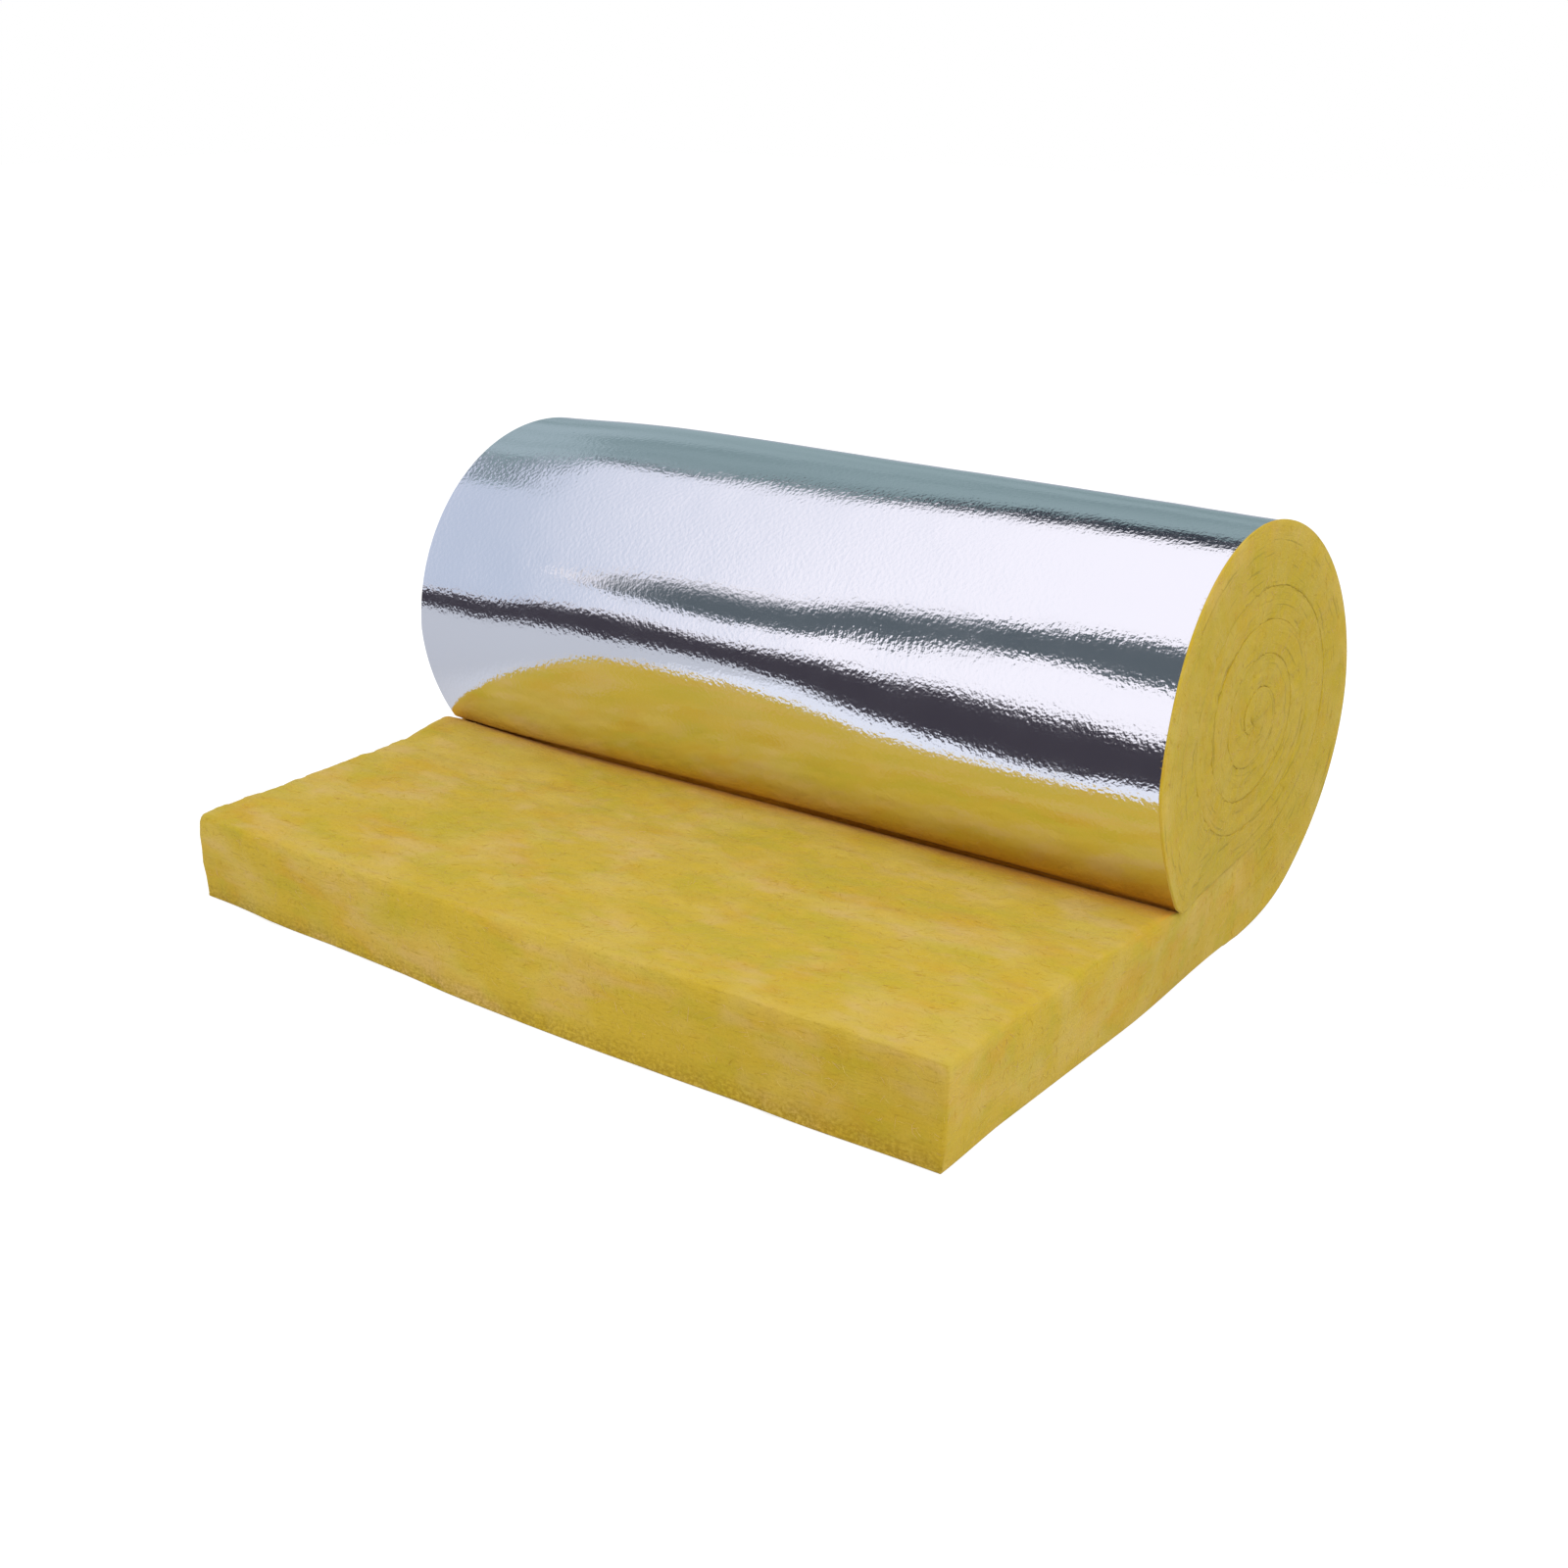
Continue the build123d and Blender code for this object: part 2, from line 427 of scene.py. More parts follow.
def rounded(strip):
    """Rounds the strip's long edges and its cut end, more on the open side."""
    along, depth, x = strip.T
    thick = thickness(along)
    share = depth / thick
    change_end = CREASE_ALONG + OPEN_RADIUS_CHANGE
    wound_share = ramp(along, CREASE_ALONG - OPEN_RADIUS_CHANGE, change_end)
    ragged = noise(strip, RAGGED_CELLS, 11)
    open_radius = FLAT_OPEN_RADIUS + (TURN_OPEN_RADIUS - FLAT_OPEN_RADIUS) * wound_share
    open_radius = np.minimum(open_radius * (1 + RAGGED * ragged), EDGE_SHARE * thick)
    facing_radius = np.minimum(FACING_EDGE_RADIUS, FACING_EDGE_SHARE * thick)
    side_radius = np.minimum(SIDE_EDGE_RADIUS, EDGE_SHARE * thick)
    radius = np.where(
        share < 0.5,
        facing_radius + (side_radius - facing_radius) * ramp(share, *FACED_EDGE),
        side_radius + (open_radius - side_radius) * ramp(share, *OPEN_EDGE),
    )
    core = np.column_stack([
        np.maximum(along, radius),
        np.clip(depth, facing_radius, thick - open_radius),
        np.clip(x, radius - HALF_WIDTH, HALF_WIDTH - radius),
    ])
    away = strip - core
    length = np.maximum(np.linalg.norm(away, axis=1), NOT_ZERO)
    return core + away * np.minimum(1, radius / length)[:, None]


def end_shape(strip):
    """How far the wool stands out at its two long sides: slipped and bulging turns."""
    along, depth, x = strip.T
    share = depth / thickness(along)
    near_end = ramp(np.abs(x), HALF_WIDTH - LIP, HALF_WIDTH - EDGE_OFFSETS[-1])
    side_seed = np.sign(x)[:, None] * [0, 0, 0.5]
    slipped = noise(np.column_stack([along, 0 * x, 0 * x]) + side_seed, SLIP_CELLS, 12)
    bulge = 1 - (2 * np.clip(share, 0, 1) - 1) ** 2
    turns = ramp(along, *SLIP_REACH)
    stands_out = (SLIP_HEIGHT + SLIP_HEIGHT_INNER * turns) * slipped + BULGE_HEIGHT * bulge
    return np.sign(x) * near_end * stands_out


def relief(strip, kind):
    """One kind of relief as a height at each strip point."""
    height, cells, seed = kind
    return height * noise(strip, cells, seed)


def wool_relief(strip):
    """Height of tufts and fibre bundles over the wool's surface."""
    along, depth, x = strip.T
    open_side = np.where(
        along < CUT_FOOT, ramp(depth, *CUT_FOOT_FADE), ramp(depth, *FACED_SIDE_FADE)
    )
    end_reach = np.where(along < FLAT_LENGTH, END_FADE_FLAT, END_FADE_WOUND)
    end = ramp(np.abs(x), HALF_WIDTH - end_reach, HALF_WIDTH - END_SKIN)
    cut = 1 - ramp(along, *CUT_FADE)
    in_from_edge = ramp(thickness(along) - depth, 0, LAYER_FADE)
    broad, tufts, fine = (relief(strip, kind) for kind in (BROAD, TUFTS, FINE))
    layer_height = TURN_LAYER_HEIGHT + CORE_LAYER_HEIGHT * ramp(along, *CORE_LAYER_REACH)
    turn_layers = layer_height * relief(strip, TURN_LAYERS)
    foot = relief(strip, FOOT) * (1 - ramp(depth, *FOOT_REACH))
    height = (
        broad * (1 - end) * (1 - cut)
        + tufts * (1 - TUFTS_LESS_AT_ENDS * end)
        + fine * (1 + FINE_MORE_AT_CUT * cut)
    )
    cut_layers = (relief(strip, CUT_LAYERS) + foot) * cut * (1 - end)
    height += in_from_edge * (turn_layers * end + cut_layers)
    hidden = np.where(end < 0.01, ramp(along, *UNDER_ROLL_FADE), 0)
    return height * open_side * (1 - hidden)


def grid(first, second, third, rows, columns):
    """Strip points and faces of a wall that is rows by columns points."""
    points = np.column_stack([np.ravel(v) for v in (first, second, third)])
    index = np.arange(rows * columns).reshape(rows, columns)
    corners = (index[:-1, :-1], index[1:, :-1], index[1:, 1:], index[:-1, 1:])
    return points, np.stack([np.ravel(c) for c in corners], axis=1)


WELD_DIGITS = 6
WELD_REACH = 1e-6  # the same, as a length


def stitched(fine, coarse):
    """Points and faces between a fine row of strip points and a coarse one."""
    picks = np.searchsorted(fine[:, 2], coarse[:, 2] - WELD_REACH)
    faces = []
    for k in range(len(coarse) - 1):
        across = range(picks[k], picks[k + 1] + 1)
        faces.append([*across, len(fine) + k + 1, len(fine) + k])
    return np.vstack([fine, coarse]), faces


def depths(along):
    """Depth rows for each of these lengths: an array of lengths by rows."""
    ends = np.array(EDGE_OFFSETS)
    middle = DEPTH_ROWS - 2 * len(ends)
    shares = np.arange(1, middle + 1) / (middle + 1)
    offset = np.concatenate([ends, ends[-1] * (1 - 2 * shares), -ends[::-1]])
    share = np.concatenate([0 * ends, shares, 0 * ends + 1])
    thick = thickness(along)[:, None]
    return offset * np.minimum(1, thick / (3 * ends[-1])) + share * thick


def turned(wall):
    """The same wall with its faces turned to the other side."""
    points, faces = wall
    return points, [face[::-1] for face in faces]


def level_wall(rows, columns, depth):
    """Strip points and faces of a wall over rows and columns, at a depth for each row."""
    u, x = np.meshgrid(rows, columns, indexing="ij")
    return grid(u, depth[:, None] + 0 * x, x, *x.shape)


def side_wall(rows, depth, x):
    """Strip points and faces of a wall along one long side, at x, with these depths."""
    wall = grid(rows[:, None] + 0 * depth, depth, 0 * depth + x, *depth.shape)
    return turned(wall) if x < 0 else wall


def cut_wall(columns):
    """Strip points and faces of the cut end."""
    depth, x = np.meshgrid(depths(np.array([0.0]))[0], columns, indexing="ij")
    return turned(grid(0 * x, depth, x, *x.shape))


def last_wall(along, columns):
    """Strip points and the one face that closes the blanket in the core."""
    last = depths(np.array([along]))[0]
    ring = np.concatenate([
        [(along, depth, -HALF_WIDTH) for depth in last],
        [(along, last[-1], x) for x in columns[1:-1]],
        [(along, depth, HALF_WIDTH) for depth in last[::-1]],
        [(along, 0, x) for x in columns[-2:0:-1]],
    ])
    return ring, [list(range(len(ring)))]


def wool_strip():
    """Strip points and faces of the whole blanket's surface, as one closed shell."""
    even_rows = np.arange(EDGE_OFFSETS[-1] + WOOL_STEP, FINE_END, WOOL_STEP)
    flat_rows = np.concatenate([EDGE_OFFSETS, even_rows])
    before_wound = FLAT_LENGTH - WOOL_STEP / 2
    later_rows = np.arange(flat_rows[-1] + WOOL_STEP, before_wound, 2 * WOOL_STEP)
    coarse_rows = np.concatenate([later_rows, np.arange(FLAT_LENGTH, WOOL_END, WOOL_STEP)])
    all_rows = np.concatenate([flat_rows, coarse_rows])
    fine_x = spread(-HALF_WIDTH, HALF_WIDTH, WOOL_STEP)
    coarse_x = spread(-HALF_WIDTH, HALF_WIDTH, 3 * HALF_WIDTH, [*EDGE_OFFSETS, LIP])
    bottom = level_wall(all_rows[1:], coarse_x, 0 * all_rows[1:])
    fine_top = turned(level_wall(flat_rows, fine_x, thickness(flat_rows)))
    coarse_top = turned(level_wall(coarse_rows, coarse_x, thickness(coarse_rows)))
    top_seam = stitched(fine_top[0][-len(fine_x):], coarse_top[0][:len(coarse_x)])
    foot_row = np.column_stack([0 * fine_x, 0 * fine_x, fine_x])
    foot_seam = turned(stitched(foot_row, bottom[0][:len(coarse_x)]))
    sides = [side_wall(all_rows, depths(all_rows), x) for x in (-HALF_WIDTH, HALF_WIDTH)]
    ends = [cut_wall(fine_x), last_wall(all_rows[-1], coarse_x)]
    return welded([bottom, fine_top, coarse_top, top_seam, foot_seam, *sides, *ends])


def welded(walls):
    """Joins walls into one set of points and faces, sharing the points they meet in."""
    points = np.vstack([wall[0] for wall in walls])
    faces, start = [], 0
    for wall_points, wall_faces in walls:
        faces += [[start + int(k) for k in face] for face in wall_faces]
        start += len(wall_points)
    _, first, index = np.unique(
        np.round(points, WELD_DIGITS), axis=0, return_index=True, return_inverse=True
    )
    index = np.ravel(index)
    return points[first], [[int(index[k]) for k in face] for face in faces]


def mesh_object(name, points, faces, smooth=True):
    """A mesh object from points and faces."""
    mesh = bpy.data.meshes.new(name)
    mesh.from_pydata(points.tolist(), [], faces)
    mesh.validate()
    mesh.polygons.foreach_set("use_smooth", [smooth] * len(mesh.polygons))
    mesh.update()
    made = bpy.data.objects.new(name, mesh)
    bpy.context.scene.collection.objects.link(made)
    return made


def values_of(items, name, width, kind=float):
    """One property of a mesh's vertices, polygons or loops as rows of this width."""
    values = np.zeros(len(items) * width, kind)
    items.foreach_get(name, values)
    return values.reshape(-1, width)


def move_vertices(mesh, points):
    """Sets the mesh's vertices to these points."""
    mesh.vertices.foreach_set("co", np.ravel(points))
    mesh.update()


def add_attribute(mesh, name, values):
    """Stores a vector at each vertex for the material to read."""
    mesh.attributes.new(name, "FLOAT_VECTOR", "POINT")
    mesh.attributes[name].data.foreach_set("vector", np.ravel(values).astype(np.float32))


HALVINGS = 24


def roll_underside(y, x):
    """The height that the roll leaves over the blanket near and behind the nip."""
    low, high = np.full(len(y), radians(200)), np.full(len(y), 1.5 * pi)
    for _ in range(HALVINGS):
        angle = (low + high) / 2
        reach = NIP_RADIUS + swell(angle, x)
        short = NIP_CENTRE[0] + reach * np.cos(angle) < y
        low, high = np.where(short, angle, low), np.where(short, high, angle)
    bend = NIP_CENTRE[1] + reach * np.sin(angle)
    return np.where(y < NIP_CENTRE[0], bend, REST_HEIGHT) - FOIL_CLEARANCE


def press_down(points, strip):
    """Keeps the blanket under the roll's foil and over the floor."""
    pressed = strip[:, 0] < FLAT_LENGTH
    pressed &= points[:, 1] > NIP_CENTRE[0] - 0.9 * NIP_RADIUS
    ceiling = roll_underside(points[pressed, 1], points[pressed, 0])
    points[pressed, 2] = np.minimum(points[pressed, 2], ceiling)
    points[:, 2] = np.maximum(points[:, 2], LOWEST_WOOL)
    return points


ZONE_REACH = 0.006
GROOVE_SHADE_REACH = 0.005
CREASE_SHADE_POWER = 2.8


def add_wool_attributes(wool, strip, points):
    """Stores the places on the strip, the ends and cut, and the painted shade of the grooves and
    the crease.
    """
    along, depth, x = strip.T
    thick = thickness(along)
    share = depth / thick
    end = ramp(np.abs(x), HALF_WIDTH - ZONE_REACH, HALF_WIDTH)
    cut = 1 - ramp(along, 0, ZONE_REACH)
    to_edge = np.minimum(depth, thick - depth)
    inner_turn = ramp(along, NIP_LENGTH, NIP_LENGTH + 0.2)
    opposite = (along > FLAT_LENGTH) & (share > 0.5)
    # Painted shade in the gaps between the turns on the roll's ends.
    groove_shade = end * (1 - ramp(to_edge, 0, GROOVE_SHADE_REACH)) * np.where(opposite, 1, inner_turn)
    # Painted shade on the blanket's top in front of the roll's nip, deepest at the crease.
    nearness = np.clip((points[:, 1] - CREASE_Y) / CREASE_SHADE_REACH + 1, 0, 1)
    crease_shade = nearness**CREASE_SHADE_POWER * (along < FLAT_LENGTH)
    crease_shade *= (share > 0.99) & (np.abs(x) < HALF_WIDTH - 0.003)
    add_attribute(wool.data, "strip", strip)
    add_attribute(wool.data, "zones", np.column_stack([end, cut, share]))
    add_attribute(wool.data, "painted_shade", np.column_stack([groove_shade, crease_shade, 0 * groove_shade]))


def build_wool():
    """The glass wool, tufted and ragged, wound up."""
    strip, faces = wool_strip()
    shaped = rounded(strip)
    hidden = (strip[:, 1] < WELD_REACH) & (strip[:, 0] > FLAT_LENGTH)
    hidden &= np.abs(strip[:, 2]) < HALF_WIDTH - 0.5 * LIP
    thin = np.minimum(1, thickness(strip[hidden, 0]) / HIDDEN_THICKNESS)
    shaped[hidden, 1] = HIDDEN_DEPTH * thin
    shaped[:, 2] += end_shape(shaped)
    points = wound_up(shaped)
    wool = mesh_object("glass_wool", points, faces)
    points = points + values_of(wool.data.vertices, "normal", 3) * wool_relief(strip)[:, None]
    points = press_down(points, strip)
    move_vertices(wool.data, points)
    add_wool_attributes(wool, strip, points)
    return wool, build_fibres(wool, strip)


# Loose fibres on the wool.

FIBRES = 15000
FIBRE_SEED = 7
FIBRE_LENGTHS = (0.008, 0.028)
FIBRE_RADII = (0.00012, 0.00028)
FIBRE_LIFTS = (0.0001, 0.0006)
FIBRE_SINK = 0.0003  # how deep both tips are in the wool
FIBRE_BEND = 0.18
FIBRE_SCATTER = 0.002
FIBRE_LEAN = (1.2, 0, 0)
FIBRE_RINGS = (0.33, 0.67)
FIBRE_FACES = [
    (0, 2, 1), (0, 3, 2), (0, 1, 3),
    (1, 2, 5, 4), (2, 3, 6, 5), (3, 1, 4, 6),
    (4, 5, 7), (5, 6, 7), (6, 4, 7),
]
FIBRES_ON_END = 0.004
FIBRES_ON_TOP = 0.02
NO_FIBRES_LOW = 0.004
LARGEST_FACE = 0.001


def bare_faces(wool, strip):
    """Centres, normals and areas of the wool's faces that show."""
    polygons = wool.data.polygons
    centres, normals = values_of(polygons, "center", 3), values_of(polygons, "normal", 3)
    areas = values_of(polygons, "area", 1)[:, 0]
    first = values_of(polygons, "loop_start", 1, int)[:, 0]
    corners = values_of(wool.data.loops, "vertex_index", 1, int)[:, 0]
    along, depth, x = strip[corners[first]].T
    end = np.abs(x) > HALF_WIDTH - FIBRES_ON_END
    top = (along < CREASE_ALONG) & (depth > FIBRES_ON_TOP)
    low = (depth < NO_FIBRES_LOW) & (along < FLAT_LENGTH)
    shows = (end | top) & ~low & (areas < LARGEST_FACE)
    return centres[shows], normals[shows], areas[shows]


def nearest_on(surface, places):
    """The nearest points of a surface and its normals there."""
    hits = [surface.find_nearest(place)[:2] for place in places.tolist()]
    rows = np.array([[*spot, *upward] for spot, upward in hits])
    return rows[:, :3], rows[:, 3:]


def build_fibres(wool, strip):
    """Loose curved fibres that lie on the wool, with both tips in it."""
    rng = np.random.default_rng(FIBRE_SEED)
    centres, normals, areas = bare_faces(wool, strip)
    picked = rng.choice(len(areas), FIBRES, p=areas / areas.sum())
    centre, normal = centres[picked], normals[picked]
    sideways = np.cross(normal, rng.normal(size=(FIBRES, 3)) + np.array(FIBRE_LEAN))
    sideways /= np.linalg.norm(sideways, axis=1)[:, None]
    heading = np.cross(sideways, normal)
    centre = centre + FIBRE_SCATTER * rng.uniform(-1, 1, (FIBRES, 1)) * sideways
    length = rng.uniform(*FIBRE_LENGTHS, (FIBRES, 1))
    radius = rng.uniform(*FIBRE_RADII, (FIBRES, 1))
    bend = rng.normal(0, FIBRE_BEND, (FIBRES, 1)) * length
    lift = rng.uniform(*FIBRE_LIFTS, (FIBRES, 1))
    surface = BVHTree.FromObject(wool, bpy.context.evaluated_depsgraph_get())

    def place(share):
        bow = 1 - (2 * share - 1) ** 2
        wanted = centre + (share - 0.5) * length * heading + bow * bend * sideways
        spots, upward = nearest_on(surface, wanted)
        return spots + (bow * lift - FIBRE_SINK) * upward

    rings = [place(0.0)]
    for share in FIBRE_RINGS:
        middle = place(share)
        for turn in (0, 2 * pi / 3, 4 * pi / 3):
            rings.append(middle + radius * (cos(turn) * sideways + sin(turn) * normal))
    rings.append(place(1.0))
    points = np.stack(rings, axis=1).reshape(-1, 3)
    points[:, 2] = np.maximum(points[:, 2], 0)
    size = len(rings)
    every = [[size * k + corner for corner in face] for k in range(FIBRES) for face in FIBRE_FACES]
    fibres = mesh_object("loose_fibres", points, every, False)
    tint = np.repeat(rng.uniform(0, 1, FIBRES), size)
    add_attribute(fibres.data, "tint", np.column_stack([tint, tint, tint]))
    return fibres


# Foil.

FOIL_STEP = 0.0055
FOIL_FLAT_STEP = 0.03
FOIL_BACK_EVERY = 10
FOIL_SHEET = 0.0007
FOIL_RECESS = 0.006
CUT_SET_BACK = 0.003
TUCKED = 0.030
FOIL_DENTS = [(0.00022, (0.07, 1, 0.09), 21), (0.00010, (0.030, 1, 0.035), 22)]
DENTS_REACH = (FLAT_LENGTH + 0.05, FLAT_LENGTH + 0.15)


def foil_point(along, x, inset):
    """A point of the foil sheet, inset from its outer side."""
    x = x - FOIL_SET_BACK * ramp(x, 0, HALF_WIDTH)
    y, z, angle = on_path(along)
    outer_turn = (along > FLAT_LENGTH) & (angle < 1.5 * pi)
    outward = np.where(outer_turn, swell(angle, x), 0) - inset
    y, z = y + outward * np.cos(angle), z + outward * np.sin(angle)
    shift = np.where((along < FLAT_LENGTH)[:, None], flat_shift(along, 0, x), 0)
    return np.column_stack([x + skew(along, x, y, z), y, z]) + shift


def foil_dents(along, x):
    """Shallow dents of the foil over the soft wool."""
    points = np.column_stack([along, 0 * x, x])
    dents = sum(relief(points, kind) for kind in FOIL_DENTS)
    return dents * ramp(along, *DENTS_REACH)


def build_foil_sheet():
    """The foil in one sheet, from the cut end round the roll to the nip."""
    end = NIP_LENGTH + TUCKED
    rows = np.concatenate([
        np.arange(CUT_SET_BACK, FLAT_LENGTH - FOIL_FLAT_STEP / 2, FOIL_FLAT_STEP),
        np.linspace(FLAT_LENGTH, end, round((end - FLAT_LENGTH) / FOIL_STEP)),
    ])
    count = FOIL_BACK_EVERY * round(2 * HALF_WIDTH / FOIL_STEP / FOIL_BACK_EVERY)
    fine_x = np.linspace(-HALF_WIDTH, HALF_WIDTH, count + 1)
    coarse_x = fine_x[::FOIL_BACK_EVERY]
    edge_depths = np.column_stack([0 * rows, 0 * rows + FOIL_SHEET])
    outer = level_wall(rows, fine_x, edge_depths[:, 0])
    inner = turned(level_wall(rows, coarse_x, edge_depths[:, 1]))
    fine, few = len(fine_x), len(coarse_x)
    seams = [
        stitched(outer[0][:fine], inner[0][:few]),
        turned(stitched(outer[0][-fine:], inner[0][-few:])),
    ]
    edges = [side_wall(rows, edge_depths, x) for x in (fine_x[0], fine_x[-1])]
    strip, faces = welded([outer, inner, *seams, *edges])
    along, depth, x = strip.T
    points = foil_point(along, x, depth - foil_dents(along, x))
    points[:, 2] = np.maximum(points[:, 2], 0)
    foil = mesh_object("foil_sheet", points, faces)
    foil.data.set_sharp_from_angle(angle=pi / 4)
    add_attribute(foil.data, "strip", strip)
    return foil


def build_inner_foil():
    """The foil of the inner turns, set back a little from the wool's ends."""
    start = NIP_LENGTH + TUCKED
    rows = np.linspace(start, FACING_END, round((FACING_END - start) / WOOL_STEP))
    reach = HALF_WIDTH - FOIL_RECESS
    section = [(-reach, 0), (reach, 0), (reach, FOIL_SHEET), (-reach, FOIL_SHEET), (-reach, 0)]
    x, depth = np.transpose(section)
    u, x = np.meshgrid(rows, x, indexing="ij")
    walls = [grid(u, depth + 0 * u, x, *u.shape)]
    for row, order in ((rows[0], 1), (rows[-1], -1)):
        ring = np.array([(row, d, x) for x, d in section[:-1]])
        walls.append((ring, [list(range(4))[::order]]))
    strip, faces = welded(walls)
    points = foil_point(strip[:, 0], strip[:, 2], strip[:, 1])
    foil = mesh_object("foil_inner_turns", points, faces, False)
    add_attribute(foil.data, "strip", strip)
    return foil


# Materials.


def add_node(tree, kind, inputs=None, **settings):
    """Adds a shader node; inputs take a number, a colour or another node's output."""
    made = tree.nodes.new("ShaderNode" + kind)
    for name, value in settings.items():
        setattr(made, name, value)
    for key, value in (inputs or {}).items():
        if isinstance(value, bpy.types.NodeSocket):
            tree.links.new(value, made.inputs[key])
        else:
            made.inputs[key].default_value = value
    return made


def maths(operation, *values):
    """The result of a maths node; one of the values is a node's output."""
    tree = next(value.id_data for value in values if isinstance(value, bpy.types.NodeSocket))
    return add_node(tree, "Math", dict(enumerate(values)), operation=operation).outputs[0]


def times(*values):
    """The product of several values."""
    return reduce(partial(maths, "MULTIPLY"), values)


def step(value, low, high):
    """A smooth step from 0 at low to 1 at high."""
    inputs = {0: value, 1: low, 2: high}
    made = add_node(value.id_data, "MapRange", inputs, interpolation_type="SMOOTHSTEP")
    return made.outputs[0]


def mixed(share, first, second):
    """A mix of two colours."""
    inputs = {0: share, 6: first, 7: second}
    return add_node(share.id_data, "Mix", inputs, data_type="RGBA").outputs[2]


def grain(vector, sizes, detail=2.0, roughness=0.5):
    """Noise whose features have these sizes along the three directions of vector."""
    tree = vector.id_data
    factors = {0: vector, 1: [1 / size for size in sizes]}
    scaled = add_node(tree, "VectorMath", factors, operation="MULTIPLY").outputs[0]
    inputs = {"Vector": scaled, "Scale": 1.0, "Detail": detail, "Roughness": roughness}
    return add_node(tree, "TexNoise", inputs).outputs[0]


def patches(vector, kind, reach):
    """One kind of grain as soft patches, from 0 to 1 over this reach of its values."""
    return step(grain(vector, *kind), *reach)


def split_up(vector):
    """The three components of a vector."""
    return add_node(vector.id_data, "SeparateXYZ", {0: vector}).outputs


def attribute(tree, name):
    """A vector stored in the mesh."""
    return add_node(tree, "Attribute", attribute_name=name).outputs["Vector"]


def add_bump(shader, height, strength, distance):
    """Gives the shader a bump from this height."""
    inputs = {"Height": height, "Strength": strength, "Distance": distance}
    bump = add_node(height.id_data, "Bump", inputs)
    height.id_data.links.new(bump.outputs[0], shader.inputs["Normal"])


def new_material(name, values=()):
    """A material with a Principled shader of these values, its tree and the shader."""
    material = bpy.data.materials.new(name)
    material.use_nodes = True
    tree = material.node_tree
    shader = tree.nodes["Principled BSDF"]
    for key, value in values:
        shader.inputs[key].default_value = value
    return material, tree, shader


WOOL_YELLOW = (0.61, 0.425, 0.036, 1)
WOOL_LIGHT = (0.68, 0.50, 0.115, 1)
WOOL_BEIGE = (0.68, 0.455, 0.170, 1)
WOOL_OLIVE = (0.55, 0.415, 0.028, 1)
WOOL_GOLD = (0.62, 0.375, 0.028, 1)
WOOL_SHADE = (0.36, 0.220, 0.012, 1)
# Painted shade between the turns on the roll's ends; also the colour of the dark fold lines.
WOOL_DARK_FOLDS_AND_GROOVE_SHADE = (0.28, 0.20, 0.016, 1)
# Painted shade on the roll's wound ends.
WOOL_END_SHADE = (0.51, 0.37, 0.018, 1)
# Painted shade: the orange-brown of the wool in the crease in front of the roll's nip.
WOOL_CREASE_SHADE = (0.85, 0.41, 0.018, 1)

# Grains: feature sizes along the strip's three directions, then detail and roughness.
CLUSTERS = ((0.08, 0.06, 0.12), 2)
WISPS = ((0.030, 0.020, 0.065), 2)
ACROSS = ((0.0045, 0.0035, 0.028), 4, 0.65)
AROUND = ((0.060, 0.0035, 0.010), 4, 0.65)
MOTTLE = ((0.0042, 0.0042, 0.0055), 3, 0.7)
FOLD_LINES = ((0.090, 0.0055, 0.5), 2)
BROKEN = ((0.07, 0.05, 0.3), 3)
# Patches of the blanket's colour: grain, reach, strength and colour.
WOOL_PATCHES = [
    (((0.06, 0.05, 0.09), 3, 0.6), (0.46, 0.64), 0.9, WOOL_OLIVE),
    (((0.09, 0.06, 0.13), 3, 0.6), (0.48, 0.66), 0.8, WOOL_GOLD),
    (((0.080, 0.07, 0.120), 2), (0.42, 0.64), 0.45, WOOL_LIGHT),
]
BEIGE_SHARE, LESS_BEIGE_AT_ENDS = 0.45, 0.30
LIGHT_SHARE = 0.22
# Painted shade in the gaps between fibres: its share, and how much more on the cut.
GAP_SHADE_SHARE, MORE_GAP_SHADE_ON_CUT = 0.25, 0.40
# Painted shade on the wound ends, and how much less of it the outer rim gets.
END_SHADE_SHARE, LESS_END_SHADE_AT_RIM = 0.55, 0.45
FOLD_SHARE = 0.50
# Painted shade on the cut's right part, and darkening towards its foot.
CUT_RIGHT_SHADE, DARKER_FOOT = 0.28, 0.55
GROOVE_SHADE_SHARE = 0.34
CREASE_SHADE_SHARE = 0.85
WOOL_FINISH = [("Roughness", 0.95), ("Specular IOR Level", 0.15), ("Sheen Weight", 0.1)]
FIBRE_FINISH = [("Roughness", 0.7), ("Specular IOR Level", 0.3)]


def blanket_colour(strip, end):
    """Yellow with patches of other yellows and with beige wisps."""
    colour = WOOL_YELLOW
    for kind, reach, strength, tone in WOOL_PATCHES:
        colour = mixed(times(patches(strip, kind, reach), strength), colour, tone)
    clusters = patches(strip, CLUSTERS, (0.44, 0.60))
    wisps = patches(strip, WISPS, (0.42, 0.68))
    less = maths("SUBTRACT", BEIGE_SHARE, times(end, LESS_BEIGE_AT_ENDS))
    return mixed(times(clusters, wisps, less), colour, WOOL_BEIGE)


def fibrous(colour, streaks, mottle, cut):
    """The colour with light fibres and painted shade in the gaps between them."""
    light = step(maths("MAXIMUM", streaks, mottle), 0.52, 0.78)
    colour = mixed(times(light, LIGHT_SHARE), colour, WOOL_LIGHT)
    gaps = step(maths("MINIMUM", streaks, mottle), 0.46, 0.22)
    # Painted shade in the gaps between fibres, more on the cut.
    gap_shade = maths("ADD", GAP_SHADE_SHARE, times(cut, MORE_GAP_SHADE_ON_CUT))
    return mixed(times(gaps, gap_shade), colour, WOOL_SHADE)


